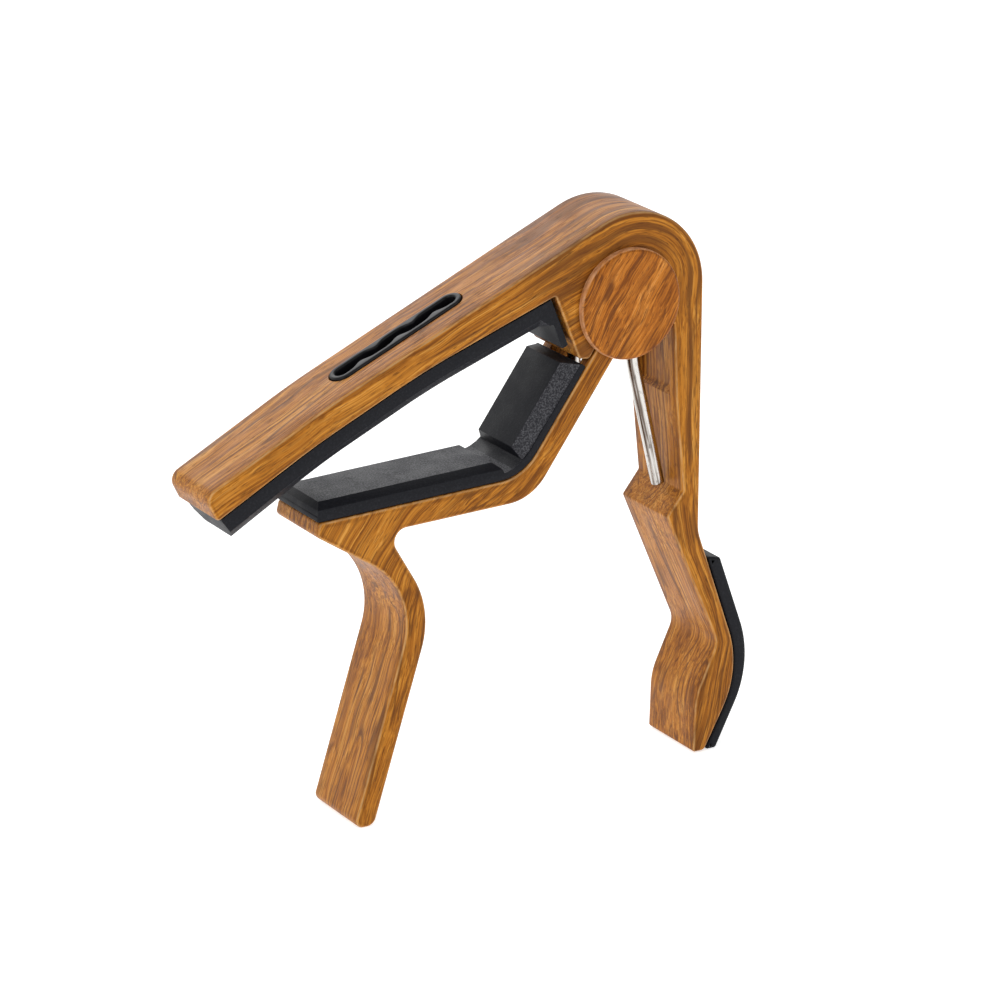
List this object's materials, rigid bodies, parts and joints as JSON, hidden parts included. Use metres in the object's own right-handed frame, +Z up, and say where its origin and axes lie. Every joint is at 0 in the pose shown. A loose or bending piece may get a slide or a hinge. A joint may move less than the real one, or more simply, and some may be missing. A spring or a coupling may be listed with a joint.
{
  "type": "guitar capo",
  "caption": "Spring-loaded trigger capo: wood-look cast string bar and neck jaw on one pivot, rubber pads, plectrum slot and squeeze handles.",
  "frame": {"origin": "bottom centre of the bounding box: the middle of the length and width, on the surface that both handle tips stand on", "axes": "+X from the string bar's tip towards the hub and the rear handle, +Y across the width from the front cap to the rear cap, +Z up"},
  "size_m": [0.0918, 0.016, 0.0882],
  "materials": {
    "wood_film": "wood-grain film on cast alloy under satin lacquer",
    "cap_film": "wood-grain film, slightly redder, satin lacquer",
    "pad_rubber": "fine-textured matt black silicone rubber",
    "insert_rubber": "smooth dark grey rubber",
    "spring_chrome": "bright nickel-plated spring wire",
    "pin_steel": "turned steel",
    "nylon": "natural nylon"
  },
  "bodies": {
    "jaw": {"lower_jaw": "wood_film", "neck_pad": "pad_rubber", "front_pivot_cap": "cap_film", "rear_pivot_cap": "cap_film", "pivot_pin": "pin_steel", "front_friction_washer": "nylon", "rear_friction_washer": "nylon"},
    "arm": {"upper_arm": "wood_film", "string_pad": "pad_rubber", "pick_holder": "insert_rubber", "handle_pad": "pad_rubber", "torsion_spring": "spring_chrome", "spring_sleeve": "nylon"}
  },
  "joints": [
    {"name": "jaw_pivot", "type": "hinge", "parent": "jaw", "child": "arm", "pos_m": [0.02354, 0, 0.0745], "axis": [0, 1, 0], "range_deg": [0, 32], "stiffness_Nm_per_rad": 0.15, "springref_deg": -2.86, "deforming": ["torsion_spring"]}
  ]
}
